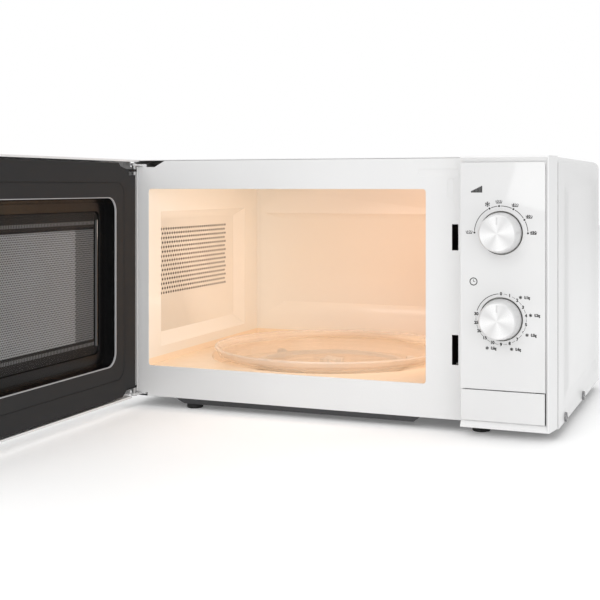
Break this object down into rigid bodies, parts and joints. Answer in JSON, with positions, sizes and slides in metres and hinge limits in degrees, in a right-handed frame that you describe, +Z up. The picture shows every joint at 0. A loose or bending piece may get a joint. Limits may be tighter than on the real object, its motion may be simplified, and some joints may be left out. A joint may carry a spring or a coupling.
{
  "type": "microwave oven",
  "caption": "Compact countertop microwave oven with a side-hinged door standing open, two rotary dials, a push button and a glass turntable in a lit cavity.",
  "frame": {"origin": "middle of the outline of the oven with its door open, on the plane the feet stand on", "axes": "+X to the right seen from the front, +Y from the front to the rear, +Z up"},
  "size_m": [0.4706, 0.6648, 0.2625],
  "materials": {
    "galvanised_sheet": "satin",
    "base_coating": "satin",
    "spring_steel": "satin",
    "bell_steel": "gloss",
    "duct_aluminium": "satin",
    "cream_enamel": "satin",
    "black_plastic": "satin",
    "white_plastic": "gloss",
    "gland_plastic": "matte",
    "inner_plastic": "matte",
    "screen_steel": "matte",
    "switch_body": "matte",
    "window_acrylic": "gloss",
    "white_enamel": "gloss",
    "fan_plastic": "matte",
    "laminated_iron": "satin",
    "foot_rubber": "matte",
    "board": "matte",
    "plate_glass": "gloss",
    "diode_plastic": "matte",
    "pin_steel": "satin",
    "lamp_glass": "emissive",
    "mica": "matte",
    "silver_plastic": "satin",
    "roller_plastic": "satin",
    "switch_pin": "matte",
    "winding": "satin",
    "clear_film": "gloss"
  },
  "bodies": {
    "cabinet": {"back_panel": "galvanised_sheet", "base_plate": "base_coating", "button_spring": "spring_steel", "cabinet_screws": "bell_steel", "capacitor": "duct_aluminium", "capacitor_clamp": "duct_aluminium", "cavity_shell": "cream_enamel", "control_housing": "white_plastic", "control_plate": "white_plastic", "cord_gland": "gland_plastic", "door_switch_1": "switch_body", "door_switch_2": "switch_body", "door_switch_3": "switch_body", "face_frame": "white_enamel", "fan_bracket": "fan_plastic", "fan_motor": "laminated_iron", "feet": "foot_rubber", "filter_board": "board", "high_voltage_diode": "diode_plastic", "hinge_pin_bottom": "pin_steel", "hinge_pin_top": "pin_steel", "hinge_plate_bottom": "white_enamel", "hinge_plate_top": "white_enamel", "lamp": "lamp_glass", "lamp_holder": "inner_plastic", "latch_bracket": "black_plastic", "magnetron": "duct_aluminium", "mica_cover": "mica", "outer_wrap": "white_enamel", "thermal_cutouts": "diode_plastic", "timer_bell": "bell_steel", "timer_unit": "inner_plastic", "transformer_coils": "winding", "transformer_core": "laminated_iron", "turntable_motor": "laminated_iron", "waveguide": "duct_aluminium"},
    "door": {"door_frame": "white_plastic", "door_window": "window_acrylic", "door_panel": "screen_steel", "choke_cover": "black_plastic", "window_film": "clear_film", "latch_spring": "spring_steel"},
    "hooks": {"latch_hooks": "black_plastic"},
    "button": {"door_button": "white_plastic"},
    "lever": {"release_lever": "inner_plastic"},
    "power_dial": {"power_knob": "silver_plastic", "power_shaft": "inner_plastic"},
    "timer_dial": {"timer_knob": "silver_plastic", "timer_shaft": "inner_plastic"},
    "turntable": {"glass_plate": "plate_glass", "coupler": "inner_plastic", "table_shaft": "pin_steel"},
    "ring": {"roller_ring": "roller_plastic"},
    "wheel_1": {"roller_1": "roller_plastic"},
    "wheel_2": {"roller_2": "roller_plastic"},
    "wheel_3": {"roller_3": "roller_plastic"},
    "fan": {"fan_impeller": "inner_plastic"},
    "plunger_1": {"switch_plunger_1": "switch_pin"},
    "plunger_2": {"switch_plunger_2": "switch_pin"},
    "plunger_3": {"switch_plunger_3": "switch_pin"}
  },
  "joints": [
    {"name": "door_swing", "type": "hinge", "parent": "cabinet", "child": "door", "pos_m": [-0.2139, 0.027, 0], "axis": [0, 0, 1], "range_deg": [0, 90]},
    {"name": "hook_lift", "type": "slide", "parent": "door", "child": "hooks", "axis": [0, 0, 1], "range_m": [0, 0.004], "stiffness_N_per_m": 500, "springref_m": -0.004, "deforming": ["latch_spring"]},
    {"name": "button_press", "type": "slide", "parent": "cabinet", "child": "button", "axis": [0, 1, 0], "range_m": [0, 0.004], "stiffness_N_per_m": 350, "springref_m": -0.002, "deforming": ["button_spring"]},
    {"name": "lever_rock", "type": "hinge", "parent": "cabinet", "child": "lever", "pos_m": [0.1763, 0.0291, 0.052], "axis": [1, 0, 0], "range_deg": [0, 11.5]},
    {"name": "power_turn", "type": "hinge", "parent": "cabinet", "child": "power_dial", "pos_m": [0.1843, 0.0136, 0.1915], "axis": [0, 1, 0], "range_deg": [-90, 90]},
    {"name": "timer_turn", "type": "hinge", "parent": "cabinet", "child": "timer_dial", "pos_m": [0.1843, 0.0136, 0.1122], "axis": [0, 1, 0], "range_deg": [0, 280]},
    {"name": "turntable_spin", "type": "hinge", "parent": "cabinet", "child": "turntable", "pos_m": [-0.0471, 0.1816, 0.03], "axis": [0, 0, 1], "continuous": true},
    {"name": "ring_spin", "type": "hinge", "parent": "cabinet", "child": "ring", "pos_m": [-0.0471, 0.1816, 0.034], "axis": [0, 0, 1], "continuous": true},
    {"name": "fan_spin", "type": "hinge", "parent": "cabinet", "child": "fan", "pos_m": [0.1713, 0.3106, 0.176], "axis": [0, 1, 0], "continuous": true},
    {"name": "wheel_1_roll", "type": "hinge", "parent": "ring", "child": "wheel_1", "pos_m": [0.03257, 0.2276, 0.0343], "axis": [0.866, 0.5, 0], "continuous": true},
    {"name": "wheel_2_roll", "type": "hinge", "parent": "ring", "child": "wheel_2", "pos_m": [-0.12677, 0.2276, 0.0343], "axis": [-0.866, 0.5, 0], "continuous": true},
    {"name": "wheel_3_roll", "type": "hinge", "parent": "ring", "child": "wheel_3", "pos_m": [-0.0471, 0.0896, 0.0343], "axis": [0, -1, 0], "continuous": true},
    {"name": "plunger_1_push", "type": "slide", "parent": "cabinet", "child": "plunger_1", "axis": [0, 1, 0], "range_m": [0, 0.0015], "stiffness_N_per_m": 300, "springref_m": -0.002},
    {"name": "plunger_2_push", "type": "slide", "parent": "cabinet", "child": "plunger_2", "axis": [0, 1, 0], "range_m": [0, 0.0015], "stiffness_N_per_m": 300, "springref_m": -0.002},
    {"name": "plunger_3_push", "type": "slide", "parent": "cabinet", "child": "plunger_3", "axis": [0, 1, 0], "range_m": [0, 0.0015], "stiffness_N_per_m": 300, "springref_m": -0.002}
  ],
  "couplings": [
    {"joint": "lever_rock", "follows": "button_press", "rad_per_m": 48.3},
    {"joint": "ring_spin", "follows": "turntable_spin", "ratio": 0.5},
    {"joint": "wheel_1_roll", "follows": "turntable_spin", "ratio": -9.2},
    {"joint": "wheel_2_roll", "follows": "turntable_spin", "ratio": -9.2},
    {"joint": "wheel_3_roll", "follows": "turntable_spin", "ratio": -9.2}
  ]
}
